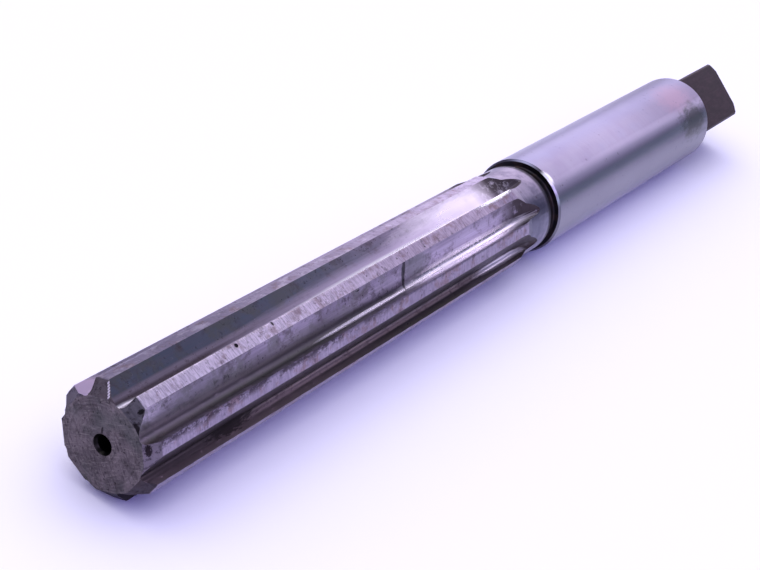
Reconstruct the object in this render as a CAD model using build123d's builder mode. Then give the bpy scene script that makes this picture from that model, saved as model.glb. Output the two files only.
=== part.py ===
from build123d import *
from math import acos, cos, degrees, radians, sin, sqrt, tan
import os

# Straight-fluted hand reamer, one piece of hardened steel, lying on a flat surface.
# All sizes are in millimetres. The cutting end points along +X, the square drive along -X,
# and +Z is up. The origin is on the surface, below the middle of the tool.
# Stations are distances along the tool behind its front face.

# Whole tool
cutting_diameter = 15.875
overall_length = 177.8

# Front end: a 45 degree bevel lead, then a slight starting taper
bevel_lead = 1.6
bevel_relief_deg = 8.0
taper_length = 22.0
taper_drop = 0.05

# Teeth and flutes
tooth_count = 8
tooth_length = 90.4
uneven_pitch_deg = 0.8
uneven_phase_deg = 72.0
margin_width = 0.3
relief_angle_deg = 9.0
flute_depth = 1.93
flute_angle_deg = 80.0
flute_root_radius = 0.8
flute_cutter_radius = 30.0
flute_climb_lead = 2.4

# Neck turned below the teeth, grinding groove and shank
neck_drop = 0.65
neck_slope_length = 2.4
neck_length = 6.4
groove_width = 2.0
groove_depth = 0.6
groove_corner_radius = 0.3
shank_undersize = 0.05
shank_front_edge = 0.3
shank_rear_edge = 0.2

# Square drive, milled on a turned end
square_across_flats = 11.1
square_corner_drop = 0.3
square_length = 15.9
square_end_bevel = 1.0
square_root_radius = 0.5

# Centre holes, countersunk at 60 degrees
pilot_diameter = 2.3
pilot_depth = 6.5
pilot_point_deg = 118.0
front_centre_mouth = 2.85
rear_centre_mouth = 4.4

# Sizes that follow from the ones above
cutting_radius = cutting_diameter / 2
front_radius = cutting_radius - taper_drop
root_radius = cutting_radius - flute_depth
flute_straight_length = tooth_length - flute_climb_lead
neck_radius = cutting_radius - neck_drop
neck_station = tooth_length + neck_slope_length
groove_station = neck_station + neck_length
groove_radius = neck_radius - groove_depth
shank_radius = cutting_radius - shank_undersize / 2
shoulder_station = groove_station + groove_width
shank_end_station = overall_length - square_length
square_corner_radius = shank_radius - square_corner_drop
tooth_pitch_deg = 360 / tooth_count
# The shank touches the surface, and the two lowest teeth in front of it all but touch it
axis_height = shank_radius
# How far a cutting shape reaches beyond the metal that it removes
overcut = 1.5
outer_limit = cutting_radius + overcut

tool_axis = Axis((0, 0, axis_height), (-1, 0, 0))
front_centre = (overall_length / 2, 0, axis_height)
# Lengthwise section: local x is the station, local y is the radius
lengthwise = Plane(origin=front_centre, x_dir=(-1, 0, 0), z_dir=(0, 1, 0))


def crosswise(turn_deg):
    """Front face of the tool, with local x pointing out at turn_deg and local z to the back."""
    outward = (0, cos(radians(turn_deg)), sin(radians(turn_deg)))
    return Plane(origin=front_centre, x_dir=outward, z_dir=(-1, 0, 0))


def uneven_turn(tooth):
    """Turn of a tooth round the tool. The pitch varies, but opposite teeth stay opposite."""
    phase = 2 * tooth_pitch_deg * tooth + uneven_phase_deg
    return tooth_pitch_deg * tooth - uneven_pitch_deg * sin(radians(phase))


# The cutting shapes below belong to a tooth whose rake face lies in the local XZ plane.
# Local x points out along it. The flute is on its -y side and the land on its +y side.
rake_root = Vector(root_radius, 0)
cutting_edge = Vector(cutting_radius, 0)
back_wall = Vector(1, 0).rotate(Axis.Z, -flute_angle_deg)
back_wall_end = rake_root + back_wall * cutting_radius * sin(radians(tooth_pitch_deg))
margin_turn_deg = degrees(margin_width / cutting_radius)
margin_end = cutting_edge.rotate(Axis.Z, margin_turn_deg)
relief_slope = Vector(0, 1).rotate(Axis.Z, margin_turn_deg + relief_angle_deg)
relief_end = margin_end + relief_slope * cutting_radius * radians(tooth_pitch_deg) / 2

# The tool lies on the two teeth either side of its lowest flute: the cutting edge of the
# first one and the heel of the second, where its relieved land meets the flute
second_turn = uneven_turn(0) - uneven_turn(1)
second_margin = margin_end.rotate(Axis.Z, second_turn)
second_slope = relief_slope.rotate(Axis.Z, second_turn)
heel_reach = (second_margin - rake_root).cross(second_slope).Z
heel_slope = back_wall.cross(second_slope).Z
heel = rake_root + back_wall * heel_reach / heel_slope
first_tooth_deg = (heel - cutting_edge).get_signed_angle(Vector(1, 0))
tooth_turns = [
    first_tooth_deg + uneven_turn(tooth) - uneven_turn(0) for tooth in range(tooth_count)
]
# Each flat faces midway between two cutting edges
square_turn = first_tooth_deg - tooth_pitch_deg / 2

# Flute: straight from the front face, then climbing out on the radius of the cutter
climb_axis = Axis(
    (root_radius + flute_cutter_radius, 0, flute_straight_length), (0, 1, 0)
)
climb_deg = degrees(acos(1 - (outer_limit - root_radius) / flute_cutter_radius))

with BuildPart() as flute_cutter:
    with BuildSketch(Plane.XY.offset(flute_straight_length)) as flute_section:
        with BuildLine():
            Polyline(
                rake_root,
                (outer_limit, 0),
                (outer_limit, back_wall_end.Y),
                back_wall_end,
                close=True,
            )
        make_face()
        fillet(flute_section.vertices().sort_by(Axis.X)[0], radius=flute_root_radius)
    extrude(amount=-flute_straight_length - overcut)
    revolve(flute_section.sketch, axis=climb_axis, revolution_arc=climb_deg)

# Land relief: a flat behind the narrow cylindrical margin
with BuildPart() as relief_cutter:
    with BuildSketch(Plane.XY.offset(-overcut)):
        with BuildLine():
            Polyline(
                margin_end,
                relief_end,
                (outer_limit, relief_end.Y),
                (outer_limit, margin_end.Y),
                close=True,
            )
        make_face()
    extrude(amount=overcut + neck_station)

# Bevel relief: the tooth's front flat, which sinks behind its cutting edge
bevel_tilt = radians(bevel_relief_deg)
bevel_flat = Plane(
    origin=(front_radius - bevel_lead, 0, 0),
    x_dir=(1, 0, 1),
    z_dir=(cos(bevel_tilt) / sqrt(2), sin(bevel_tilt), -cos(bevel_tilt) / sqrt(2)),
)

with BuildPart() as bevel_cutter:
    with BuildSketch(bevel_flat):
        with Locations((-overcut, 0)):
            Rectangle(
                bevel_lead * sqrt(2) + 2 * overcut,
                relief_end.Y,
                align=(Align.MIN, Align.MAX),
            )
    extrude(amount=overcut)

# Flat of the square drive, with the rounded corner that its milling cutter leaves
with BuildPart() as flat_cutter:
    with BuildSketch(Plane.XZ) as flat_section:
        with Locations((square_across_flats / 2, shank_end_station)):
            Rectangle(
                square_corner_radius,
                square_length + overcut,
                align=(Align.MIN, Align.MIN),
            )
        inner_corner = flat_section.vertices().sort_by_distance((0, 0, 0))[0]
        fillet(inner_corner, radius=square_root_radius)
    extrude(amount=square_corner_radius, both=True)


def centre_hole(mouth_diameter):
    """Half section of a centre hole: depth from the end face, then radius."""
    pilot = pilot_diameter / 2
    mouth = mouth_diameter / 2
    cone_depth = (mouth - pilot) / tan(radians(30))
    point_depth = pilot / tan(radians(pilot_point_deg / 2))
    return [
        (0, 0),
        (0, mouth),
        (cone_depth, pilot),
        (pilot_depth, pilot),
        (pilot_depth + point_depth, 0),
    ]


with BuildPart() as reamer:
    # Turned blank
    with BuildSketch(lengthwise):
        with BuildLine():
            Polyline(
                (0, 0),
                (0, front_radius - bevel_lead),
                (bevel_lead, front_radius),
                (taper_length, cutting_radius),
                (tooth_length, cutting_radius),
                (neck_station, neck_radius),
                (groove_station, neck_radius),
                (groove_station, groove_radius),
                (shoulder_station, groove_radius),
                (shoulder_station, shank_radius - shank_front_edge),
                (shoulder_station + shank_front_edge, shank_radius),
                (shank_end_station - shank_rear_edge, shank_radius),
                (shank_end_station, shank_radius - shank_rear_edge),
                (shank_end_station, square_corner_radius),
                (overall_length - square_end_bevel, square_corner_radius),
                (overall_length, square_corner_radius - square_end_bevel),
                (overall_length, 0),
                close=True,
            )
        make_face()
    revolve(axis=tool_axis)
    groove_corners = reamer.edges().filter_by(GeomType.CIRCLE).sort_by(
        lambda edge: abs(edge.radius - groove_radius)
    )[:2]
    fillet(groove_corners, radius=groove_corner_radius)

    # Flutes and reliefs, tooth by tooth
    for turn in tooth_turns:
        with Locations(crosswise(turn)):
            add(flute_cutter.part, mode=Mode.SUBTRACT)
            add(relief_cutter.part, mode=Mode.SUBTRACT)
            add(bevel_cutter.part, mode=Mode.SUBTRACT)

    # Square drive
    for side in range(4):
        with Locations(crosswise(square_turn + 90 * side)):
            add(flat_cutter.part, mode=Mode.SUBTRACT)

    # Centre holes in the front and the rear face
    with BuildSketch(lengthwise):
        with BuildLine():
            Polyline(*centre_hole(front_centre_mouth), close=True)
        make_face()
    revolve(axis=tool_axis, mode=Mode.SUBTRACT)
    with BuildSketch(lengthwise):
        with BuildLine():
            rear_hole = [
                (overall_length - depth, radius)
                for depth, radius in centre_hole(rear_centre_mouth)
            ]
            Polyline(*rear_hole, close=True)
        make_face()
    revolve(axis=tool_axis, mode=Mode.SUBTRACT)

reamer.part.label = "reamer"

os.makedirs("parts", exist_ok=True)
export_step(reamer.part, "parts/reamer.step")
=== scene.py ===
import math

import bmesh
import bpy
import numpy as np
from mathutils import Euler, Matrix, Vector, noise


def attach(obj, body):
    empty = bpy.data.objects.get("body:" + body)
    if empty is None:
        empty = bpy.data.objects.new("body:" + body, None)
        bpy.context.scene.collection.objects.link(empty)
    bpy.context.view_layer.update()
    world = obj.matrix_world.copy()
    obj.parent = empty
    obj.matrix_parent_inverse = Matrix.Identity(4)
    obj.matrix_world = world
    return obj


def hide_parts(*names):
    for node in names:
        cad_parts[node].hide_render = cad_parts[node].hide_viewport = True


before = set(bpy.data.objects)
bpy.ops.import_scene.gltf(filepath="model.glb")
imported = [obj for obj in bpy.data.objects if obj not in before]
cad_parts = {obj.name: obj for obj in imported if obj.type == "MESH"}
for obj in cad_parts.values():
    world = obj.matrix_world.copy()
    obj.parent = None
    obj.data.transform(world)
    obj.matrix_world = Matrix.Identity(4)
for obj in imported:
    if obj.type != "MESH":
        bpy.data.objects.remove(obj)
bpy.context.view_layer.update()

rootBody = "root"
mm = 0.001

# Sizes of the tool in millimetres, the same as those of the solid. Only the shank is a hair
# thinner, so that it stays inside the solid's box. Stations count back from the front face.
tool = {
    "length": 177.8,
    "axisHeight": 7.9125,
    "cuttingRadius": 7.9375,
    "frontRadius": 7.8875,
    "taperEnd": 22.0,
    "bevelLead": 1.6,
    "bevelRelief": 8.0,
    "bevelReach": 29.0,
    "toothEnd": 90.4,
    "neckStart": 92.8,
    "neckEnd": 99.2,
    "neckRadius": 7.2875,
    "grooveEnd": 101.2,
    "grooveRadius": 6.6875,
    "grooveCorner": 0.3,
    "shankRadius": 7.89,
    "shankFrontEdge": 0.3,
    "shankRearEdge": 0.2,
    "shankEnd": 161.9,
    "rootRadius": 6.0075,
    "fluteAngle": 80.0,
    "fluteFillet": 0.8,
    "cutterRadius": 30.0,
    "climbStart": 88.0,
    "margin": 0.3,
    "relief": 9.0,
    "squareHalf": 5.55,
    "squareCorner": 7.6125,
    "squareBevel": 1.0,
    "squareFillet": 0.5,
    "squareTurn": 230.83,
    "pilotRadius": 1.15,
    "pilotDepth": 6.5,
    "drillPoint": 0.6,
    "mouthAngle": 30.0,
    "frontMouth": 1.425,
    "rearMouth": 2.2,
}
# Turn of each cutting edge in degrees from +Y towards +Z: the pitch is uneven. The camera sees
# teeth 5, 4, 3 and 2, from top to bottom. Each flute has the number of the tooth whose rake
# face it bares: 4 is called the upper flute, 3 the middle one and 2 the lower one.
toothTurns = [253.33, 298.85, 344.86, 389.34, 433.33, 478.85, 524.86, 569.34]
toothCount = len(toothTurns)

# What years of use have done to the edges and flutes, in millimetres. A rate is how fast the
# noise changes along the tool, then across the flute, and from tooth to tooth. The base and
# the threshold are levels of that noise.
worn = {
    "edgeWear": 0.05,
    "wearBase": 0.35,
    "wearRate": (0.9, 7.1),
    "nickDepth": 0.16,
    "nickThreshold": 0.4,
    "nickRate": (2.3, 3.7),
    "nickEnd": 93,
    "waves": 0.012,
    "scoopWaves": 0.035,
    "scoopStart": 80,
    "scoopEnd": 91,
    "waveRate": (0.45, 0.7, 5.3),
    "seed": 4.0,
}

# How the teeth are sampled: step and reach of the flute profile, and where the stations stand
# closest for the tips of the scoops, in millimetres, then the points across each surface
sampling = {
    "step": 0.02,
    "rakeReach": 3.5,
    "wallReach": 7.5,
    "tipStart": 93.2,
    "tipEnd": 97.0,
    "filletPoints": 33,
    "rakePoints": 5,
    "rootPoints": 12,
    "wallPoints": 12,
    "landPoints": 8,
    "marginPoints": 3,
}


# Point of the shared frame, in metres, at a station, a radius and a turn about the axis
def place(station, radius, turn):
    angle = math.radians(turn)
    return Vector((
        (tool["length"] / 2 - station) * mm,
        radius * math.cos(angle) * mm,
        (tool["axisHeight"] + radius * math.sin(angle)) * mm,
    ))


def turnOf(point):
    return math.degrees(math.atan2(point.z - tool["axisHeight"] * mm, point.y))


# Flute profile of one tooth: x out along the rake face, y towards the back wall
def fluteProfile():
    angle = math.radians(tool["fluteAngle"])
    root, fillet, step = tool["rootRadius"], tool["fluteFillet"], sampling["step"]
    reach = fillet / math.tan(angle / 2)
    rakeTop = root + sampling["rakeReach"]
    rake = [(x, 0.0) for x in np.arange(rakeTop, root + reach, -step)]
    bends = np.linspace(-math.pi / 2, angle - math.pi * 3 / 2, sampling["filletPoints"])
    arc = [
        (root + reach + fillet * math.cos(b), fillet + fillet * math.sin(b)) for b in bends
    ]
    wall = [
        (root + w * math.cos(angle), w * math.sin(angle))
        for w in np.arange(reach, sampling["wallReach"], step)
    ]
    points = np.array(rake + arc + wall)
    steps = np.hypot(*np.diff(points, axis=0).T)
    run = np.concatenate([[0.0], np.cumsum(steps)])
    return points, run, run[len(rake)], run[len(rake) + len(arc) - 1]


profile, profileRun, filletStart, filletEnd = fluteProfile()


# Where a point of the flute profile lies at a station: the cutter leaves on an arc
def climbed(x, station):
    past = max(0.0, station - tool["climbStart"])
    drop = tool["cutterRadius"] - (x - tool["rootRadius"])
    inside = np.maximum(drop**2 - past**2, 0.0)
    return tool["rootRadius"] + tool["cutterRadius"] - np.sqrt(inside)


def blankRadius(station):
    return np.interp(
        station,
        [0, tool["taperEnd"], tool["toothEnd"], tool["neckStart"], tool["neckEnd"]],
        [tool["frontRadius"], tool["cuttingRadius"], tool["cuttingRadius"],
         tool["neckRadius"], tool["neckRadius"]],
    )


# Outer radius of a tooth at an angle in degrees behind its cutting edge. The margin isn't
# relieved, and the bevel's relief ends before the heel.
def landRadius(behind, station):
    angle = np.radians(behind)
    relief = math.radians(tool["relief"])
    margin = tool["margin"] / tool["cuttingRadius"]
    flat = tool["cuttingRadius"] * math.cos(relief) / np.cos(angle - margin - relief)
    flat = np.where(angle > margin, flat, np.inf)
    start = tool["frontRadius"] - tool["bevelLead"] + station
    sink = math.sqrt(2) * math.tan(math.radians(tool["bevelRelief"]))
    bevel = start / (np.cos(angle) + sink * np.sin(angle))
    bevel = np.where(behind > tool["bevelReach"], start, bevel)
    return np.minimum(np.minimum(blankRadius(station), flat), bevel)


# Run along the flute profile where it enters and leaves the metal, or None past its end
def fluteSpan(pitch, station):
    x = climbed(profile[:, 0], station)
    ahead = np.degrees(np.arctan2(profile[:, 1], x))
    gap = np.hypot(x, profile[:, 1]) - landRadius(pitch - ahead, station)
    inside = np.nonzero(gap < 0)[0]
    if len(inside) < 3:
        return None
    ends = []
    for edge, beyond in ((inside[0], inside[0] - 1), (inside[-1], inside[-1] + 1)):
        share = gap[edge] / (gap[edge] - gap[beyond])
        ends.append(profileRun[edge] + share * (profileRun[beyond] - profileRun[edge]))
    return ends


# Radii, turns and runs across one flute at one station, from its cutting edge to the heel
def fluteRow(turn, station, span, tooth):
    start, end = span
    a = min(max(filletStart, start), end)
    b = min(max(filletEnd, start), end)
    run = np.concatenate([
        np.linspace(start, a, sampling["rakePoints"])[:-1],
        np.linspace(a, b, sampling["rootPoints"])[:-1],
        np.linspace(b, end, sampling["wallPoints"]),
    ])
    x = climbed(np.interp(run, profileRun, profile[:, 0]), station)
    y = np.interp(run, profileRun, profile[:, 1])
    radii, turns = np.hypot(x, y), turn + np.degrees(np.arctan2(y, x))
    # The cutter's chatter and later wear leave soft waves, deeper where it climbed out. They
    # die out over the last four points at either edge.
    depth = np.interp(
        station, [worn["scoopStart"], worn["scoopEnd"]], [worn["waves"], worn["scoopWaves"]]
    )
    along, across, perTooth = worn["waveRate"]
    for i in range(1, len(run) - 1):
        spot = Vector((station * along, run[i] * across, tooth * perTooth + worn["seed"]))
        wave = 0.5 + 0.5 * noise.noise(spot)
        fromRim = min(1, i / 4, (len(run) - 1 - i) / 4)
        radii[i] -= depth * wave * fromRim
    return radii, turns, run - filletStart


# Depth lost from a cutting edge by wear and small nicks
def nick(station, tooth):
    along, perTooth = worn["wearRate"]
    rough = noise.noise(Vector((station * along, tooth * perTooth, worn["seed"])))
    along, perTooth = worn["nickRate"]
    small = noise.noise(Vector((station * along, tooth * perTooth, worn["seed"] + 9)))
    wear = worn["edgeWear"] * max(0.0, worn["wearBase"] + rough)
    return wear + worn["nickDepth"] * max(0.0, small - worn["nickThreshold"])


# Closest at the bevel and where the flutes climb out
tipStart, tipEnd = sampling["tipStart"], sampling["tipEnd"]
stations = np.concatenate([
    np.arange(0, 2.0, 0.1),
    np.arange(2.0, tool["climbStart"], 0.4),
    np.arange(tool["climbStart"], tipStart, 0.2),
    np.arange(tipStart, tipEnd, 0.15),
    np.linspace(tipEnd, tool["neckEnd"], 5),
])
finishes = ["land", "flute", "face", "neck", "groove", "shank", "square", "hole"]


# Collects grids of faces. Each corner keeps its place on its own surface, in millimetres:
# along the tool, across the surface, and the number of the tooth.
class Shell:
    def __init__(self):
        self.mesh = bmesh.new()
        self.facet = self.mesh.loops.layers.float_vector.new("facet")
        self.patch = self.mesh.faces.layers.int.new("patch")
        self.count = 0

    def grid(self, rows, coords, rowFinish, closed=False):
        self.count += 1
        made = [[self.mesh.verts.new(p) for p in row] for row in rows]
        for i in range(len(rows) - 1):
            width = len(rows[i])
            finish = rowFinish if isinstance(rowFinish, str) else rowFinish[i]
            for j in range(width if closed else width - 1):
                k = (j + 1) % width
                corners = [(i, j), (i, k), (i + 1, k), (i + 1, j)]
                face = self.mesh.faces.new([made[r][c] for r, c in corners])
                face.material_index = finishes.index(finish)
                face.smooth = True
                face[self.patch] = self.count
                for loop, (r, c) in zip(face.loops, corners):
                    loop[self.facet] = coords[r][c] if coords else (0, 0, 0)


shell = Shell()

# Teeth: a flute in front of each cutting edge, then the land up to the next cutting edge
heelTurns, edgeTurns, frontFlute, frontLand = [], [], [], []
for tooth in range(toothCount):
    turn = toothTurns[tooth]
    lap = 360 if tooth == toothCount - 1 else 0
    nextTurn = toothTurns[(tooth + 1) % toothCount] + lap
    rows, coords, heels, edges = [], [], [], []
    for station in stations:
        span = fluteSpan(nextTurn - turn, station)
        if span is None:
            # Past the end of the flute its edges have met, a quarter of the way across
            if len(heels) == len(rows):
                tip = turns[len(turns) // 4]
                point = place(station, landRadius(nextTurn - tip, station), tip)
                rows.append([point] * len(turns))
                coords.append([(station, r, float(tooth)) for r in run])
            heels.append(tip)
            edges.append(tip)
            continue
        radii, turns, run = fluteRow(turn, station, span, tooth)
        radii[0] -= nick(station, tooth)
        radii[1] = min(radii[1], radii[0])
        rows.append([place(station, r, t) for r, t in zip(radii, turns)])
        coords.append([(station, r, float(tooth)) for r in run])
        heels.append(turns[-1])
        edges.append(turns[0])
    shell.grid(rows, coords, "flute")
    frontFlute.append(rows[0])
    heelTurns.append(heels)
    edgeTurns.append(edges)

# The ground finish runs out just past the teeth
landEnd = tool["toothEnd"] + 0.4
landFinish = ["land" if s < landEnd else "neck" for s in stations]
marginTurn = math.degrees(tool["margin"] / tool["cuttingRadius"])
for tooth in range(toothCount):
    following = (tooth + 1) % toothCount
    lap = 360 if tooth == toothCount - 1 else 0
    edge = toothTurns[following] + lap
    rows, coords = [], []
    for i, station in enumerate(stations):
        low, high = heelTurns[tooth][i], edgeTurns[following][i] + lap
        turns = np.concatenate([
            np.linspace(low, high - marginTurn, sampling["landPoints"])[:-1],
            np.linspace(high - marginTurn, high, sampling["marginPoints"]),
        ])
        radii = landRadius(edge - turns, station)
        if station < worn["nickEnd"]:
            radii[-1] -= nick(station, following)
        rows.append([place(station, r, t) for r, t in zip(radii, turns)])
        arcs = [math.radians(edge - t) * tool["cuttingRadius"] for t in turns]
        coords.append([(station, arc, float(following)) for arc in arcs])
    shell.grid(rows, coords, landFinish)
    frontLand.append(rows[0])
print("teeth", len(shell.mesh.faces))


# Turned surface through (station, radius) points, at the given turns
def lathe(points, finish, turns):
    rows = [[place(s, r, t) for t in turns] for s, r in points]
    coords = [[(s, r, 0.0)] * len(turns) for s, r in points]
    shell.grid(rows, coords, finish, closed=True)


# Flat or sloping ring between two outlines with the same number of points
def ring(outer, inner, finish, steps):
    rows = [[a.lerp(b, f) for a, b in zip(outer, inner)] for f in np.linspace(0, 1, steps)]
    shell.grid(rows, None, finish, closed=True)


# Centre hole: cone, drilled pilot and drill point, whose last ring is welded to a point later
def centreHole(station, inward, mouthRadius, turns):
    pilot, bottom = tool["pilotRadius"], tool["pilotDepth"]
    cone = (mouthRadius - pilot) / math.tan(math.radians(tool["mouthAngle"]))
    depths = [(0, mouthRadius), (cone, pilot)]
    depths += [(d, pilot) for d in np.linspace(cone, bottom, 6)[1:]]
    depths += [(bottom + pilot * tool["drillPoint"], 0.001)]
    lathe([(station + inward * d, r) for d, r in depths], "hole", turns)


# Front face, from the teeth to the rim of its centre hole
rim = []
for flute, land in zip(frontFlute, frontLand):
    rim += flute[:-1] + land[:-1]
rimTurns = [turnOf(p) for p in rim]
ring(rim, [place(0, tool["frontMouth"], t) for t in rimTurns], "face", 8)
centreHole(0, 1, tool["frontMouth"], rimTurns)


# Outline of the square drive at a station: flats between turned corners
def squareRing(station):
    past = station - tool["shankEnd"]
    half, fillet = tool["squareHalf"], tool["squareFillet"]
    if past < fillet:
        half += fillet - math.sqrt(fillet**2 - (fillet - past) ** 2)
    corner = tool["squareCorner"]
    corner -= max(0.0, station - (tool["length"] - tool["squareBevel"]))
    reach = math.degrees(math.acos(half / corner))
    outline = []
    for side in range(4):
        middle = tool["squareTurn"] + 90 * side
        for t in np.linspace(-reach, reach, 13)[:-1]:
            outline.append(place(station, half / math.cos(math.radians(t)), middle + t))
        for t in np.linspace(reach, 90 - reach, 5)[:-1]:
            outline.append(place(station, corner, middle + t))
    return outline


squareStart = tool["shankEnd"] + tool["squareFillet"]
bevelStart = tool["length"] - tool["squareBevel"]
squareStations = np.concatenate([
    np.linspace(tool["shankEnd"], squareStart, 6)[:-1],
    np.linspace(squareStart, bevelStart, 24),
    np.linspace(bevelStart, tool["length"], 5)[1:],
])
squareRows = [squareRing(s) for s in squareStations]
shell.grid(squareRows, None, "square", closed=True)
squareTurns = [turnOf(p) for p in squareRows[0]]
rearTurns = [turnOf(p) for p in squareRows[-1]]
shoulderRadius = tool["shankRadius"] - tool["shankRearEdge"]
shoulder = [place(tool["shankEnd"], shoulderRadius, t) for t in squareTurns]
ring(shoulder, squareRows[0], "square", 3)
rearMouth = [place(tool["length"], tool["rearMouth"], t) for t in rearTurns]
ring(squareRows[-1], rearMouth, "square", 5)
centreHole(tool["length"], -1, tool["rearMouth"], rearTurns)

# Grinding groove and shank
neckEnd, grooveEnd, corner = tool["neckEnd"], tool["grooveEnd"], tool["grooveCorner"]
floorRadius, frontEdge = tool["grooveRadius"], tool["shankRadius"] - tool["shankFrontEdge"]
bends = [math.radians(a) for a in (0, 22.5, 45, 67.5, 90)]
groovePoints = [(neckEnd, tool["neckRadius"])]
groovePoints += [
    (neckEnd + corner * (1 - math.cos(b)), floorRadius + corner * (1 - math.sin(b)))
    for b in bends
]
groovePoints += [
    (grooveEnd - corner * (1 - math.sin(b)), floorRadius + corner * (1 - math.cos(b)))
    for b in bends
]
lathe(groovePoints + [(grooveEnd, frontEdge)], "groove", squareTurns)
shankStations = np.linspace(
    grooveEnd + tool["shankFrontEdge"], tool["shankEnd"] - tool["shankRearEdge"], 60
)
shankPoints = [(grooveEnd, frontEdge)] + [(s, tool["shankRadius"]) for s in shankStations]
lathe(shankPoints + [(tool["shankEnd"], shoulderRadius)], "shank", squareTurns)
print("shell", len(shell.mesh.faces))


# An edge is sharp above these angles in degrees, inside a surface and between two of them
sharpAbove = {"land": 5, "neck": 5, "flute": 180, "other": 28, "between": 14}
weld = {"points": 2e-6, "slivers": 1e-7}


# Welds the grids into one mesh, with sharp edges where the real surfaces meet
def closeShell():
    bm = shell.mesh
    bmesh.ops.remove_doubles(bm, verts=bm.verts, dist=weld["points"])
    bmesh.ops.dissolve_degenerate(bm, dist=weld["slivers"], edges=bm.edges)
    bmesh.ops.recalc_face_normals(bm, faces=bm.faces)
    patch = bm.faces.layers.int["patch"]
    for edge in bm.edges:
        if len(edge.link_faces) != 2:
            continue
        one, two = edge.link_faces
        limit = sharpAbove.get(finishes[one.material_index], sharpAbove["other"])
        if one[patch] != two[patch]:
            limit = sharpAbove["between"]
        edge.smooth = edge.calc_face_angle(0.0) < math.radians(limit)
    mesh = bpy.data.meshes.new("wornReamer")
    bm.to_mesh(mesh)
    bm.free()
    piece = bpy.data.objects.new("wornReamer", mesh)
    bpy.context.scene.collection.objects.link(piece)
    return piece


reamer = closeShell()
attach(reamer, rootBody)
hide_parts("reamer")
print("mesh", len(reamer.data.polygons))


# Linear colour of an sRGB hex string
def linear(hexColour):
    shares = [int(hexColour[i:i + 2], 16) / 255 for i in (1, 3, 5)]
    values = [v / 12.92 if v <= 0.04045 else ((v + 0.055) / 1.055) ** 2.4 for v in shares]
    return values + [1.0]


# Adds a node. settings fill its properties and sockets, and links feed its sockets from
# another node's output or with a plain value.
def addNode(tree, kind, settings=None, links=None):
    node = tree.nodes.new(kind)
    for key, value in (settings or {}).items():
        if isinstance(key, str) and hasattr(node, key):
            setattr(node, key, value)
        else:
            node.inputs[key].default_value = value
    for key, source in (links or {}).items():
        if isinstance(source, bpy.types.NodeSocket):
            tree.links.new(source, node.inputs[key])
        else:
            node.inputs[key].default_value = source
    return node


# What a layer of a finish has where its own dictionary doesn't say otherwise. Its space is
# solid (the shared frame in millimetres), facet (station, place across the surface, number of
# the tooth) or rings (distance from the axis). It is either one mark, with a spot and a reach,
# or noise of a given size in millimetres, shown where the noise passes its span. It may change
# the colour, add to the roughness (dull) and sink in (depth, in millimetres). A fade gives a
# space, an axis, where the layer is gone and where it is full.
layerDefaults = {
    "space": "solid",
    "strength": 1.0,
    "fades": (),
    "lumps": 2.5,
    "ragged": 1.2,
    "soft": 0.2,
    "stretch": (1, 1, 1),
    "detail": 3.0,
    "rough": 0.55,
    "distortion": 0.0,
}
# Sets the noise of each layer apart from that of the others
layerShift = (13.7, 5.1, 9.3)
rimNoise = {"Detail": 6.0, "Roughness": 0.7}
roughnessLimits = {"Min": 0.08, "Max": 0.95}


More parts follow.
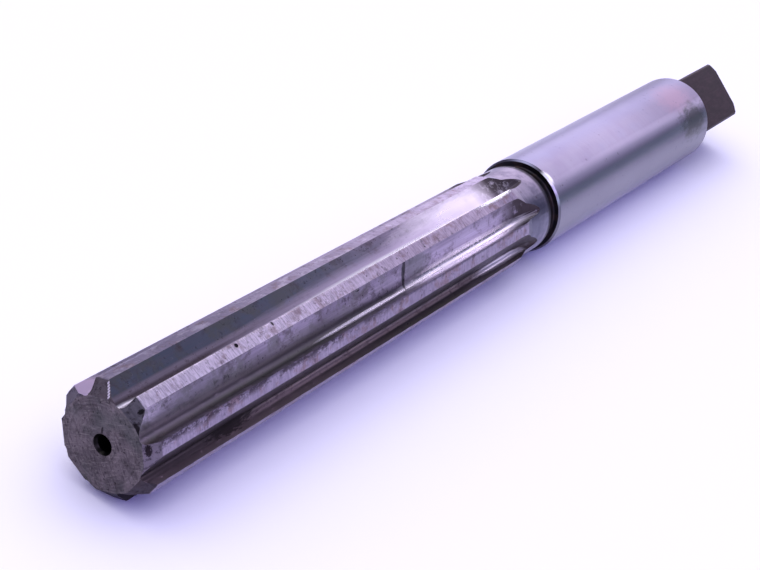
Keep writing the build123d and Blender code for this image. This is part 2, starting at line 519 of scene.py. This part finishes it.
# One steel surface from its dictionary. Every pattern has its own size in millimetres, so it
# keeps that size on the tool. Layers lie over each other in the order in which they are given.
def steelSurface(finish):
    material = bpy.data.materials.new(finish["name"])
    material.use_nodes = True
    tree = material.node_tree
    shader = tree.nodes["Principled BSDF"]
    shader.inputs["Metallic"].default_value = 1.0
    metres = addNode(tree, "ShaderNodeTexCoord").outputs["Object"]
    solid = addNode(
        tree, "ShaderNodeVectorMath", {"operation": "SCALE", "Scale": 1 / mm}, {0: metres}
    ).outputs[0]
    facet = addNode(tree, "ShaderNodeAttribute", {"attribute_name": "facet"}).outputs["Vector"]
    axes = {
        "solid": addNode(tree, "ShaderNodeSeparateXYZ", None, {0: solid}).outputs,
        "facet": addNode(tree, "ShaderNodeSeparateXYZ", None, {0: facet}).outputs,
    }
    fromAxis = addNode(
        tree, "ShaderNodeVectorMath",
        {"operation": "MULTIPLY_ADD", 1: (0, 1, 1), 2: (0, 0, -tool["axisHeight"])}, {0: solid},
    )
    axisReach = addNode(
        tree, "ShaderNodeVectorMath", {"operation": "LENGTH"}, {0: fromAxis.outputs[0]}
    )
    rings = addNode(
        tree, "ShaderNodeCombineXYZ", None, {0: axisReach.outputs["Value"]}
    ).outputs[0]
    spaces = {"solid": solid, "facet": facet, "rings": rings}
    colour = linear(finish["colour"])
    roughness, height = finish["roughness"], 0.0
    for number, given in enumerate(finish["layers"]):
        layer = {**layerDefaults, **given}
        vector = spaces[layer["space"]]
        if "spot" in layer:
            # A single mark: distance from its middle, with a ragged rim
            moved = addNode(
                tree, "ShaderNodeVectorMath", {"operation": "SUBTRACT", 1: layer["spot"]},
                {0: vector},
            )
            squeezed = addNode(
                tree, "ShaderNodeVectorMath", {"operation": "DIVIDE", 1: layer["reach"]},
                {0: moved.outputs[0]},
            )
            far = addNode(
                tree, "ShaderNodeVectorMath", {"operation": "LENGTH"}, {0: squeezed.outputs[0]}
            )
            texture = addNode(
                tree, "ShaderNodeTexNoise", {"Scale": layer["lumps"], **rimNoise},
                {"Vector": squeezed.outputs[0]},
            )
            rim = addNode(
                tree, "ShaderNodeMath", {"operation": "MULTIPLY_ADD", 1: layer["ragged"]},
                {0: texture.outputs[0], 2: far.outputs["Value"]},
            )
            level = 1 + layer["ragged"] / 2
            value, span = rim.outputs[0], (level + layer["soft"], level - layer["soft"])
        else:
            # Noise stretched along the way the surface was made
            if "turn" in layer:
                vector = addNode(
                    tree, "ShaderNodeVectorRotate",
                    {"rotation_type": "X_AXIS", "Angle": math.radians(layer["turn"])},
                    {0: vector},
                ).outputs[0]
            stretch = addNode(
                tree, "ShaderNodeVectorMath",
                {"operation": "MULTIPLY_ADD", 1: layer["stretch"],
                 2: [number * shift for shift in layerShift]},
                {0: vector},
            )
            texture = addNode(
                tree, "ShaderNodeTexNoise",
                {"Scale": 1 / layer["size"], "Detail": layer["detail"],
                 "Roughness": layer["rough"], "Distortion": layer["distortion"]},
                {"Vector": stretch.outputs[0]},
            )
            value, span = texture.outputs[0], layer["span"]
        mask = addNode(
            tree, "ShaderNodeMapRange",
            {"From Min": span[0], "From Max": span[1], "To Max": layer["strength"]},
            {"Value": value},
        ).outputs[0]
        for fadeSpace, axis, start, end in layer["fades"]:
            fade = addNode(
                tree, "ShaderNodeMapRange", {"From Min": start, "From Max": end},
                {"Value": axes[fadeSpace][axis]},
            )
            mask = addNode(
                tree, "ShaderNodeMath", {"operation": "MULTIPLY"}, {0: mask, 1: fade.outputs[0]}
            ).outputs[0]
        if "colour" in layer:
            colour = addNode(
                tree, "ShaderNodeMix", {"data_type": "RGBA", 7: linear(layer["colour"])},
                {0: mask, 6: colour},
            ).outputs[2]
        if "dull" in layer:
            roughness = addNode(
                tree, "ShaderNodeMath", {"operation": "MULTIPLY_ADD", 1: layer["dull"]},
                {0: mask, 2: roughness},
            ).outputs[0]
        if "depth" in layer:
            height = addNode(
                tree, "ShaderNodeMath", {"operation": "MULTIPLY_ADD", 1: -layer["depth"]},
                {0: mask, 2: height},
            ).outputs[0]
    tree.links.new(colour, shader.inputs["Base Color"])
    if isinstance(roughness, float):
        shader.inputs["Roughness"].default_value = roughness
    else:
        limited = addNode(tree, "ShaderNodeClamp", roughnessLimits, {"Value": roughness})
        tree.links.new(limited.outputs[0], shader.inputs["Roughness"])
    bump = addNode(
        tree, "ShaderNodeBump", {"Strength": 1.0, "Distance": mm}, {"Height": height}
    )
    tree.links.new(bump.outputs[0], shader.inputs["Normal"])
    return material


# Ground lands: cross grinding lines from the relief wheel, black pits, ragged stains.
# Such lines stand about 0.05 mm apart and are drawn 0.25 mm apart so that they show.
# Spots are given as station, distance behind the cutting edge and number of the tooth.
groundLand = {
    "name": "groundToolSteelLand",
    "colour": "#a79cb0",
    "roughness": 0.38,
    "layers": [
        {"size": 9.0, "span": (0.4, 0.65), "strength": 0.6, "colour": "#8f8499", "dull": 0.04},
        # Painted light and shade: land 4 is painted brightest and duller at its rear, land 5
        # paler at its rear and darker near its front.
        {"space": "facet", "spot": (8, 0.9, 4), "reach": (66, 9, 0.4), "soft": 0.5,
         "colour": "#f6eafb", "strength": 1.0},
        {"space": "facet", "spot": (92, 0.9, 4), "reach": (48, 9, 0.4), "soft": 0.4,
         "colour": "#b9abbf", "strength": 0.9},
        {"space": "facet", "spot": (98, 0.9, 5), "reach": (30, 6, 0.4), "soft": 0.6,
         "colour": "#cfc2da", "strength": 0.9},
        {"space": "facet", "spot": (92, 0.9, 4), "reach": (7, 9, 0.4), "soft": 0.4,
         "colour": "#877e98", "strength": 0.7},
        {"space": "facet", "spot": (20, 0.9, 5), "reach": (10, 6, 0.4), "soft": 0.6,
         "colour": "#7a7387", "strength": 0.6},
        # Grinding lines, then stains in three sizes
        {"space": "facet", "size": 0.25, "stretch": (1, 0.16, 9), "detail": 3.0,
         "span": (0.4, 0.64), "strength": 0.45, "colour": "#776d80", "dull": 0.05,
         "depth": 0.006},
        {"space": "facet", "size": 0.8, "stretch": (1, 0.45, 9), "detail": 6.0, "rough": 0.75,
         "span": (0.53, 0.66), "strength": 0.35, "colour": "#665b6b", "dull": 0.05},
        {"size": 3.0, "detail": 6.0, "rough": 0.7, "span": (0.51, 0.61), "strength": 0.6,
         "colour": "#84696a", "dull": 0.06},
        {"size": 1.6, "detail": 6.0, "rough": 0.7, "span": (0.57, 0.65), "strength": 0.55,
         "colour": "#5f5560", "dull": 0.12, "depth": 0.004},
        # Paler patches on land 5
        {"size": 1.8, "stretch": (0.5, 1, 1), "detail": 6.0, "rough": 0.7, "span": (0.53, 0.62),
         "strength": 0.4, "colour": "#d9d0de", "fades": [("facet", 2, 4.4, 4.6),
                                                         ("facet", 2, 5.6, 5.4)]},
        # Stains that creep over the cutting edge of land 3
        {"space": "facet", "size": 1.5, "stretch": (0.7, 1.2, 9), "detail": 6.0, "rough": 0.75,
         "span": (0.46, 0.53), "strength": 0.85, "colour": "#473e46", "dull": 0.12,
         "depth": 0.004,
         "fades": [("facet", 2, 2.4, 2.6), ("facet", 2, 3.6, 3.4), ("facet", 1, 1.2, 0.4),
                   ("facet", 0, 62, 40)]},
        # Pits
        {"size": 0.5, "detail": 3.0, "span": (0.67, 0.72), "strength": 0.9,
         "colour": "#2b252a", "dull": 0.2, "depth": 0.03},
        # Hammered rear end of cutting edge 4, with its glints painted in white
        {"space": "facet", "spot": (86, 0.1, 4), "reach": (5.5, 0.5, 0.4), "ragged": 2.4,
         "lumps": 7.0, "colour": "#ffffff", "strength": 1.0, "dull": -0.15, "depth": 0.12},
        # Two deep pits in land 4
        {"space": "facet", "spot": (20.0, 0.51, 4), "reach": (0.34, 0.3, 0.4), "ragged": 0.5,
         "colour": "#1b171c", "strength": 1.0, "dull": 0.2, "depth": 0.08},
        {"space": "facet", "spot": (27.7, 0.3, 4), "reach": (0.2, 0.34, 0.4), "ragged": 0.8,
         "colour": "#251f26", "strength": 0.95, "dull": 0.2, "depth": 0.06},
    ],
}
# Bevel facets, stoned by hand and dirty: one colour for each tooth. Those of teeth 7, 0 and 1,
# underneath, are painted near black as shade.
bevelDirtAndShade = {
    2: "#3b3537", 3: "#7d7580", 4: "#36373a", 5: "#5b535a", 6: "#575059", 7: "#121012",
    0: "#121012", 1: "#1a171a",
}
for tooth, dirtAndShade in bevelDirtAndShade.items():
    groundLand["layers"].append(
        {"space": "facet", "spot": (0.6, 1.4, tooth), "reach": (1.02, 9, 0.4), "ragged": 0.2,
         "soft": 0.05, "colour": dirtAndShade, "strength": 0.88, "dull": 0.25}
    )
groundLand["layers"] += [
    # Slanting stone scratches on all bevels, and a chipped stain on bevel 3
    {"size": 0.7, "stretch": (0.5, 1, 1), "turn": 35, "detail": 6.0, "rough": 0.75,
     "span": (0.52, 0.62), "strength": 0.7, "colour": "#29242a", "dull": 0.1, "depth": 0.005,
     "fades": [("facet", 0, 1.8, 1.5)]},
    {"space": "facet", "spot": (0.5, 0.9, 3), "reach": (0.3, 0.9, 0.4), "ragged": 3.2,
     "lumps": 2.4, "colour": "#2a2226", "strength": 0.9, "dull": 0.15},
    # Black chips along the lower rim of bevel 4
    {"space": "facet", "spot": (1.2, 1.8, 4), "reach": (0.3, 0.3, 0.4), "ragged": 2.4,
     "colour": "#1a171a", "strength": 0.9, "dull": 0.2},
    {"space": "facet", "spot": (0.15, 3.4, 4), "reach": (0.2, 1.0, 0.4), "ragged": 2.6,
     "lumps": 5.0, "colour": "#231e22", "strength": 0.9, "dull": 0.2},
]
# Painted highlight along the chipped heel of bevel 5, as a row of small marks
for step in np.linspace(0, 1, 6):
    groundLand["layers"].append(
        {"space": "facet", "spot": (1.4 - 1.2 * step, 2.15 + 1.25 * step, 5),
         "reach": (0.16, 0.15, 0.4), "ragged": 0.4, "colour": "#e8def2", "strength": 0.8}
    )

# Milled flutes: lengthwise cutter marks under old brown and black staining. Such marks stand
# about 0.1 mm apart and are drawn 0.3 mm apart so that they show.
# Spots are given as station, distance along the profile from the foot of the rake face, which
# lies below zero, and number of the flute.
milledFlute = {
    "name": "milledToolSteelFlute",
    "colour": "#a89cb2",
    "roughness": 0.34,
    "layers": [
        {"size": 10.0, "detail": 2.0, "span": (0.38, 0.62), "strength": 0.7,
         "colour": "#7f7489", "dull": 0.04},
        # Painted shade: slate-blue, dark front of the upper flute, with grey mottling, browner
        # along its root
        {"space": "facet", "spot": (5, 3.4, 4), "reach": (50, 9, 0.4), "soft": 0.3,
         "ragged": 0.9, "lumps": 5.0, "colour": "#55606f", "strength": 0.95},
        {"size": 3.5, "detail": 7.0, "rough": 0.72, "span": (0.45, 0.57), "strength": 0.75,
         "colour": "#5d605b", "fades": [("facet", 2, 3.4, 3.6), ("facet", 2, 4.6, 4.4),
                                        ("facet", 0, 62, 30)]},
        {"space": "facet", "spot": (18, 1.5, 4), "reach": (34, 0.8, 0.4), "soft": 0.4,
         "ragged": 0.8, "colour": "#6e646c", "strength": 0.8},
        {"space": "facet", "spot": (2, 1.5, 4), "reach": (20, 0.8, 0.4), "soft": 0.3,
         "colour": "#524649", "strength": 0.8},
        # A pale streak in the upper flute, a painted highlight along its root, and the pale
        # front corner of the middle one
        {"space": "facet", "spot": (10, 2.1, 4), "reach": (15, 0.35, 0.4), "soft": 0.5,
         "ragged": 0.6, "colour": "#9d92a0", "strength": 0.7},
        {"space": "facet", "spot": (50, 0.8, 4), "reach": (44, 0.5, 0.4), "soft": 0.3,
         "ragged": 0.6, "colour": "#efe2f8", "strength": 0.9, "dull": -0.06},
        {"space": "facet", "spot": (1.5, 4.2, 3), "reach": (4.5, 1.3, 0.4), "soft": 0.4,
         "colour": "#dccde6", "strength": 0.8},
        # Dark lower flute with a greyer foot of its wall, a pale root and a brown rake face
        {"space": "facet", "spot": (35, 3, 2), "reach": (75, 9, 0.4), "soft": 0.3,
         "colour": "#332e30", "strength": 0.92},
        {"space": "facet", "spot": (50, 1.3, 2), "reach": (50, 0.9, 0.4), "soft": 0.3,
         "ragged": 0.8, "colour": "#4b4e49", "strength": 0.7},
        {"space": "facet", "spot": (35, 0.5, 2), "reach": (62, 0.4, 0.4), "soft": 0.4,
         "ragged": 1.0, "lumps": 4.0, "colour": "#a08a8c", "strength": 0.7},
        {"space": "facet", "spot": (30, -1.2, 2), "reach": (62, 1.1, 0.4), "soft": 0.3,
         "ragged": 0.8, "colour": "#6b655b", "strength": 0.8},
        # Grey root and mottling of the middle flute, with painted light on its wall towards its
        # rear
        {"space": "facet", "spot": (6, 1.2, 3), "reach": (26, 1.3, 0.4), "soft": 0.35,
         "colour": "#76666c", "strength": 0.85},
        {"space": "facet", "spot": (31, 0.9, 3), "reach": (27, 1.1, 0.4), "soft": 0.3,
         "lumps": 5.0, "colour": "#67665f", "strength": 0.9},
        {"size": 2.5, "detail": 7.0, "rough": 0.74, "span": (0.47, 0.57), "strength": 0.65,
         "colour": "#666762", "fades": [("facet", 2, 2.4, 2.6), ("facet", 2, 3.6, 3.4),
                                        ("facet", 0, 64, 50)]},
        {"space": "facet", "spot": (27, 2.3, 3), "reach": (30, 1.0, 0.4), "soft": 0.5,
         "ragged": 1.4, "lumps": 4.0, "colour": "#625f5a", "strength": 0.6},
        {"space": "facet", "spot": (74, 2.6, 3), "reach": (26, 1.1, 0.4), "soft": 0.5,
         "ragged": 0.9, "colour": "#cdbfd9", "strength": 0.75},
        # Cutter marks, stains in two sizes and pits
        {"space": "facet", "size": 0.3, "stretch": (0.04, 1, 9), "span": (0.3, 0.7),
         "strength": 0.4, "colour": "#6a6070", "dull": 0.05, "depth": 0.005},
        {"size": 3.2, "detail": 7.0, "rough": 0.72, "distortion": 0.4, "span": (0.52, 0.63),
         "strength": 0.55, "colour": "#4d4146", "dull": 0.12, "depth": 0.004},
        {"size": 1.1, "detail": 6.0, "rough": 0.7, "span": (0.58, 0.66), "strength": 0.6,
         "colour": "#332a2e", "dull": 0.12, "depth": 0.01},
        {"size": 0.55, "detail": 3.0, "span": (0.665, 0.72), "strength": 0.9,
         "colour": "#1f191b", "dull": 0.2, "depth": 0.03},
        # Painted highlight over the rear of the upper flute, which is also a little glossier
        {"space": "facet", "spot": (80, 1.4, 4), "reach": (16, 3.6, 0.4), "soft": 0.4,
         "ragged": 1.3, "lumps": 1.6, "colour": "#fbf4ff", "strength": 0.96, "dull": -0.08},
        # Scoops where the cutter climbed out, never cleaned
        {"size": 2.0, "detail": 6.0, "rough": 0.7, "span": (0.25, 0.45), "strength": 0.95,
         "colour": "#3d3336", "dull": 0.12, "depth": 0.01,
         "fades": [("facet", 0, 84.0, 89.5)]},
        # Painted highlight on the polished root at the rear of the middle flute, and a painted
        # glint in the lower one
        {"space": "facet", "spot": (74.5, 0.7, 3), "reach": (17.5, 1.25, 0.4), "ragged": 0.7,
         "lumps": 4.0, "colour": "#fdf6ff", "strength": 1.0, "dull": -0.12},
        {"space": "facet", "spot": (85, 0.4, 2), "reach": (6, 0.55, 0.4), "soft": 0.4,
         "ragged": 1.2, "lumps": 4.0, "colour": "#f4ebfa", "strength": 0.9, "dull": -0.1},
        # Painted shade, near black, where the bottom flute opens in the front face
        {"space": "facet", "spot": (1, 0.5, 1), "reach": (6, 3, 0.4), "colour": "#1a171a",
         "strength": 0.9, "dull": 0.25},
        # Curved dark stain across the middle flute, and a painted highlight on the root in
        # front of it
        {"space": "facet", "spot": (60.5, 3.0, 3), "reach": (3.6, 1.8, 0.4), "soft": 0.4,
         "colour": "#555a58", "strength": 0.6},
        {"space": "facet", "spot": (47, 0.55, 3), "reach": (11, 0.32, 0.4), "ragged": 0.9,
         "lumps": 6.0, "colour": "#fdf6ff", "strength": 0.95, "dull": -0.16},
        {"space": "facet", "spot": (57.4, 4.2, 3), "reach": (0.36, 1.6, 0.4), "ragged": 1.2,
         "colour": "#2c292c", "strength": 0.85, "dull": 0.1},
        {"space": "facet", "spot": (57.0, 2.3, 3), "reach": (0.36, 1.8, 0.4), "ragged": 1.2,
         "colour": "#2c292c", "strength": 0.85, "dull": 0.1},
        # Painted highlights at the corners where the upper flute and the one behind it meet the
        # front face
        {"space": "facet", "spot": (0.3, 0.85, 4), "reach": (2.8, 0.42, 0.4), "soft": 0.4,
         "ragged": 0.6, "colour": "#fffaff", "strength": 0.85, "dull": -0.08},
        {"space": "facet", "spot": (1.0, 2.6, 5), "reach": (4, 3.4, 0.4), "soft": 0.3,
         "colour": "#dcc4dc", "strength": 0.95},
        # Front of the dark lower flute: paler rake face, dark root with a black patch
        {"space": "facet", "spot": (10, -0.7, 2), "reach": (32, 1.1, 0.4), "soft": 0.5,
         "ragged": 0.8, "colour": "#a08d92", "strength": 0.82},
        {"space": "facet", "spot": (8, 0.65, 2), "reach": (15, 0.6, 0.4), "soft": 0.4,
         "ragged": 0.8, "colour": "#3a3236", "strength": 0.85},
        {"space": "facet", "spot": (17, 0.9, 2), "reach": (4.5, 1.1, 0.4), "ragged": 3.4,
         "lumps": 2.6, "colour": "#1a1618", "strength": 0.8, "dull": 0.15},
        # Greyer wall and paler root at the front of the middle flute
        {"space": "facet", "spot": (9, 3.4, 3), "reach": (11, 2.0, 0.4), "soft": 0.5,
         "ragged": 0.8, "colour": "#5a5a5c", "strength": 0.4},
        {"space": "facet", "spot": (8, 1.35, 3), "reach": (25, 0.5, 0.4), "soft": 0.7,
         "ragged": 0.7, "colour": "#a79ca2", "strength": 0.75},
        # Painted light on the lower half of the upper flute, fading up the wall, and a painted
        # highlight along its root
        {"space": "facet", "spot": (55, 1.3, 4), "reach": (25, 1.2, 0.4), "soft": 0.6,
         "ragged": 0.9, "lumps": 3.0, "colour": "#d2c4dd", "strength": 0.72},
        {"space": "facet", "spot": (57, 1.1, 4), "reach": (19, 0.45, 0.4), "soft": 0.4,
         "ragged": 0.6, "colour": "#ffffff", "strength": 0.85, "dull": -0.08},
    ],
}

# Faced end: fine turning rings, dulled, scratched and speckled by handling. Such rings stand
# about 0.1 mm apart and are drawn 0.22 mm apart so that they show.
turnedFace = {
    "name": "turnedToolSteelEnd",
    "colour": "#6f6568",
    "roughness": 0.46,
    "layers": [
        {"size": 4.0, "detail": 4.0, "rough": 0.6, "span": (0.4, 0.62), "strength": 0.8,
         "colour": "#4e474b", "dull": 0.06},
        {"size": 1.8, "detail": 7.0, "rough": 0.78, "span": (0.45, 0.6), "strength": 0.75,
         "colour": "#403a3c", "dull": 0.08, "depth": 0.006},
        {"space": "rings", "size": 0.22, "detail": 2.0, "span": (0.4, 0.7), "strength": 0.18,
         "colour": "#8c8489", "depth": 0.003},
        # Fine scratches in two directions, about 0.02 mm wide and drawn 0.1 mm wide
        {"size": 0.8, "stretch": (1, 3.4, 0.5), "turn": 62, "detail": 6.0, "rough": 0.75,
         "distortion": 0.3, "span": (0.53, 0.64), "strength": 0.5, "colour": "#8f8686",
         "depth": -0.004},
        {"size": 0.8, "stretch": (1, 3.0, 0.5), "turn": -35, "detail": 6.0, "rough": 0.75,
         "distortion": 0.3, "span": (0.53, 0.64), "strength": 0.75, "colour": "#322c2f",
         "depth": 0.005},
        {"size": 0.42, "detail": 4.0, "rough": 0.6, "span": (0.6, 0.68), "strength": 0.8,
         "colour": "#2c2528", "dull": 0.2, "depth": 0.02},
        {"size": 5.0, "detail": 3.0, "span": (0.48, 0.64), "strength": 0.4,
         "colour": "#474d4b"},
        # Short dark scratch above the centre hole
        {"spot": (88.9, -0.4, 9.8), "reach": (2, 0.16, 0.5), "ragged": 0.8,
         "colour": "#221c20", "strength": 0.85, "depth": 0.02},
    ],
}

# Turned collar below the teeth: rings about 0.05 mm apart, drawn 0.2 mm apart so that they
# show
turnedNeck = {
    "name": "turnedToolSteelNeck",
    "colour": "#a79eb0",
    "roughness": 0.34,
    "layers": [
        {"size": 0.2, "stretch": (1, 0.01, 0.01), "span": (0.35, 0.7), "strength": 0.3,
         "colour": "#7c7385", "dull": 0.04, "depth": 0.003},
        {"size": 3.0, "detail": 4.0, "rough": 0.6, "span": (0.48, 0.66), "strength": 0.6,
         "colour": "#67607a", "dull": 0.08},
        # Painted shade: a darker slate-blue patch on the collar's +Y side
        {"spot": (-5.5, 6.4, 10.6), "reach": (6, 4.5, 5), "soft": 0.5, "colour": "#4c5266",
         "strength": 0.75},
        {"size": 0.9, "detail": 5.0, "rough": 0.7, "span": (0.6, 0.68), "strength": 0.5,
         "colour": "#4c434d", "dull": 0.12, "depth": 0.008},
        # Darker and duller along the edge next to the groove
        {"size": 1.5, "detail": 4.0, "span": (0.2, 0.4), "strength": 0.9, "colour": "#2b282f",
         "dull": 0.1, "fades": [("solid", 0, -9.3, -9.9)]},
    ],
}

# Undercut where the grinding wheel ran out, never polished and black with old oil. Its rings
# are as fine as the collar's and drawn 0.25 mm apart.
blackGroove = {
    "name": "oilBlackenedSteelGroove",
    "colour": "#2c2a30",
    "roughness": 0.5,
    "layers": [
        {"size": 1.5, "detail": 5.0, "rough": 0.7, "span": (0.45, 0.65), "strength": 0.8,
         "colour": "#4a3a38", "dull": 0.1, "depth": 0.006},
        {"size": 0.25, "stretch": (1, 0.06, 0.06), "span": (0.4, 0.7), "strength": 0.5,
         "colour": "#15141a", "depth": 0.006},
    ],
}

# Cylindrically ground shank: rings about 0.04 mm apart, drawn 0.2 mm apart so that they show
groundShank = {
    "name": "cylindricallyGroundSteelShank",
    "colour": "#a59fb3",
    "roughness": 0.3,
    "layers": [
        {"size": 0.2, "stretch": (1, 0.01, 0.01), "detail": 2.0, "span": (0.3, 0.7),
         "strength": 0.25, "colour": "#847d94", "dull": 0.04, "depth": 0.0015},
        {"size": 8.0, "detail": 4.0, "rough": 0.6, "span": (0.45, 0.68), "strength": 0.4,
         "colour": "#8f83a2", "dull": 0.05},
        {"size": 6.0, "detail": 3.0, "rough": 0.5, "span": (0.5, 0.7), "strength": 0.3,
         "colour": "#9aa0bc"},
        # Duller towards the square, painted shade round the front edge, and one painted
        # highlight
        {"spot": (-76, 0, 12), "reach": (26, 30, 30), "soft": 0.4, "ragged": 0.4,
         "colour": "#777087", "strength": 0.8, "dull": 0.04},
        {"space": "facet", "spot": (101.2, 0, 0), "reach": (0.34, 99, 9), "soft": 0.1,
         "ragged": 0.2, "colour": "#45414e", "strength": 0.9, "dull": 0.15},
        {"spot": (-12.5, 3.8, 14.8), "reach": (0.8, 1.6, 1.0), "soft": 0.3, "ragged": 0.6,
         "colour": "#ffffff", "strength": 1.0},
        # Painted reflections: soft light and dark stripes along the whole shank
        {"spot": (-30, -1.6, 15.6), "reach": (200, 2.2, 1.5), "soft": 0.5, "ragged": 0.2,
         "colour": "#8c8cab", "strength": 0.6},
        {"spot": (-30, 5.4, 13.7), "reach": (200, 1.1, 1.0), "soft": 0.6, "ragged": 0.2,
         "colour": "#cbc4da", "strength": 0.7},
        {"spot": (-30, 6.7, 12.1), "reach": (200, 0.8, 0.9), "soft": 0.5, "ragged": 0.2,
         "colour": "#a9b5bd", "strength": 0.7},
        {"spot": (-30, 7.9, 8.6), "reach": (200, 2.0, 3.2), "soft": 0.3, "ragged": 0.2,
         "colour": "#82818b", "strength": 0.85},
        # Rosy and green-grey stains near the square, then specks
        {"spot": (-64.5, 1.8, 15.6), "reach": (5, 3.0, 3.0), "soft": 0.5, "ragged": 1.6,
         "colour": "#a88a9c", "strength": 0.5},
        {"spot": (-67.0, 6.6, 12.2), "reach": (5, 2.6, 2.8), "soft": 0.4, "ragged": 2.2,
         "colour": "#4f544e", "strength": 0.75, "dull": 0.1},
        {"size": 0.8, "detail": 4.0, "span": (0.66, 0.72), "strength": 0.5,
         "colour": "#5b5466", "dull": 0.1, "depth": 0.006},
    ],
}

# Square drive: milled, then left black and brown with hardening scale. Milling marks stand
# about 0.1 mm apart and are drawn 0.4 mm apart so that they show.
scaledSquare = {
    "name": "hardeningScaleSteelSquare",
    "colour": "#3a3035",
    "roughness": 0.48,
    "layers": [
        {"size": 1.6, "detail": 6.0, "rough": 0.7, "span": (0.42, 0.66), "strength": 0.8,
         "colour": "#52424a", "dull": 0.08, "depth": 0.006},
        {"size": 0.4, "stretch": (0.15, 1, 1), "span": (0.4, 0.7), "strength": 0.5,
         "colour": "#2a2229", "depth": 0.006},
    ],
}

# Drilled centre holes, dark inside with oil and dirt over the drill's rings, drawn 0.2 mm
# apart so that they show
drilledHole = {
    "name": "oilyDrilledSteelHole",
    "colour": "#1c1a1a",
    "roughness": 0.42,
    "layers": [
        {"size": 0.2, "stretch": (1, 0.1, 0.1), "span": (0.4, 0.7), "strength": 0.6,
         "colour": "#363236", "depth": 0.008},
    ],
}

# In the order of the finishes above
surfaces = [
    groundLand, milledFlute, turnedFace, turnedNeck, blackGroove, groundShank, scaledSquare,
    drilledHole,
]
for finish in surfaces:
    reamer.data.materials.append(steelSurface(finish))
print("materials", [finish["name"] for finish in surfaces])

# Pale floor, matte as paper, which keeps the tool's shadow
ground = {"reach": 1.5, "colour": "#fcfbff", "roughness": 0.9, "specular": 0.1}
floorMesh = bpy.data.meshes.new("floor")
side = ground["reach"]
corners = [(-side, -side, 0), (side, -side, 0), (side, side, 0), (-side, side, 0)]
floorMesh.from_pydata(corners, [], [(0, 1, 2, 3)])
floor = bpy.data.objects.new("floor", floorMesh)
bpy.context.scene.collection.objects.link(floor)
floorMaterial = bpy.data.materials.new("mattePaperFloor")
floorMaterial.use_nodes = True
floorShader = floorMaterial.node_tree.nodes["Principled BSDF"]
floorShader.inputs["Base Color"].default_value = linear(ground["colour"])
floorShader.inputs["Roughness"].default_value = ground["roughness"]
floorShader.inputs["Specular IOR Level"].default_value = ground["specular"]
floorMesh.materials.append(floorMaterial)

# Studio as the steel shows it, with a slate-blue ceiling and a darker gap at table height.
# Matt surfaces, here only the floor, are lit by an even lavender sky instead, which gives the
# tool its soft shade.
studio = {
    "up": (-0.1, -0.3, 0.95),
    "colours": [(0.0, "#3c4258"), (0.14, "#6b6c88"), (0.35, "#9c9ab8"), (0.8, "#84869f")],
    "strength": 0.9,
    "sky": [(0.0, "#292560"), (0.25, "#857fe0"), (1.0, "#fffcff")],
    "skyStrength": 1.74,
}
world = bpy.data.worlds.new("studio")
bpy.context.scene.world = world
world.use_nodes = True
worldTree = world.node_tree
worldWay = addNode(worldTree, "ShaderNodeTexCoord").outputs["Generated"]
worldHeight = addNode(
    worldTree, "ShaderNodeVectorMath", {"operation": "DOT_PRODUCT", 1: studio["up"]},
    {0: worldWay},
)


def skyRamp(stops):
    ramp = addNode(worldTree, "ShaderNodeValToRGB", None, {0: worldHeight.outputs["Value"]})
    elements = ramp.color_ramp.elements
    for number, (position, hexColour) in enumerate(stops):
        stop = elements[number] if number < 2 else elements.new(position)
        stop.position = position
        stop.color = linear(hexColour)
    return ramp.outputs[0]


floorRay = addNode(worldTree, "ShaderNodeLightPath").outputs["Is Diffuse Ray"]
seen = addNode(
    worldTree, "ShaderNodeMix", {"data_type": "RGBA"},
    {0: floorRay, 6: skyRamp(studio["colours"]), 7: skyRamp(studio["sky"])},
)
power = addNode(
    worldTree, "ShaderNodeMapRange",
    {"To Min": studio["strength"], "To Max": studio["skyStrength"]}, {"Value": floorRay},
)
background = worldTree.nodes["Background"]
worldTree.links.new(seen.outputs[2], background.inputs["Color"])
worldTree.links.new(power.outputs[0], background.inputs["Strength"])

# Soft boxes: place, where they aim, size and power of each
softboxes = {
    "rearPanel": {"at": (-0.8, -0.2, 0.35), "aim": (0, 0, 0.02), "size": (1.0, 0.5),
                  "power": 2.7, "colour": "#f3e7fd"},
    "keySoftbox": {"at": (0.06, -0.28, 0.6), "aim": (0, 0, 0), "size": (0.35, 0.35),
                   "power": 2.6, "colour": "#ffffff"},
    "fillSoftbox": {"at": (0.12, 0.6, 0.5), "aim": (0.0, 0.02, 0), "size": (0.6, 0.4),
                    "power": 4.5, "colour": "#dcd2ff"},
}
for name, lamp in softboxes.items():
    light = bpy.data.lights.new(name, "AREA")
    light.shape = "RECTANGLE"
    light.size, light.size_y = lamp["size"]
    light.energy = lamp["power"]
    light.color = linear(lamp["colour"])[:3]
    box = bpy.data.objects.new(name, light)
    box.location = lamp["at"]
    way = Vector(lamp["aim"]) - Vector(lamp["at"])
    box.rotation_euler = way.to_track_quat("-Z", "Y").to_euler()
    box.visible_diffuse = False
    bpy.context.scene.collection.objects.link(box)
print("lights", list(softboxes))

# Camera as in the photograph
view = {
    "at": (0.220632, 0.094496, 0.129332),
    "turn": (59.5175, -13.1128, 123.8540),
    "lens": 80.526,
    "sensor": 36,
    "clipStart": 0.01,
}
cameraData = bpy.data.cameras.new("camera")
cameraData.sensor_width = view["sensor"]
cameraData.lens = view["lens"]
cameraData.clip_start = view["clipStart"]
camera = bpy.data.objects.new("camera", cameraData)
camera.location = view["at"]
camera.rotation_euler = Euler([math.radians(a) for a in view["turn"]])
bpy.context.scene.collection.objects.link(camera)
bpy.context.scene.camera = camera
bpy.context.scene.view_settings.view_transform = "Standard"
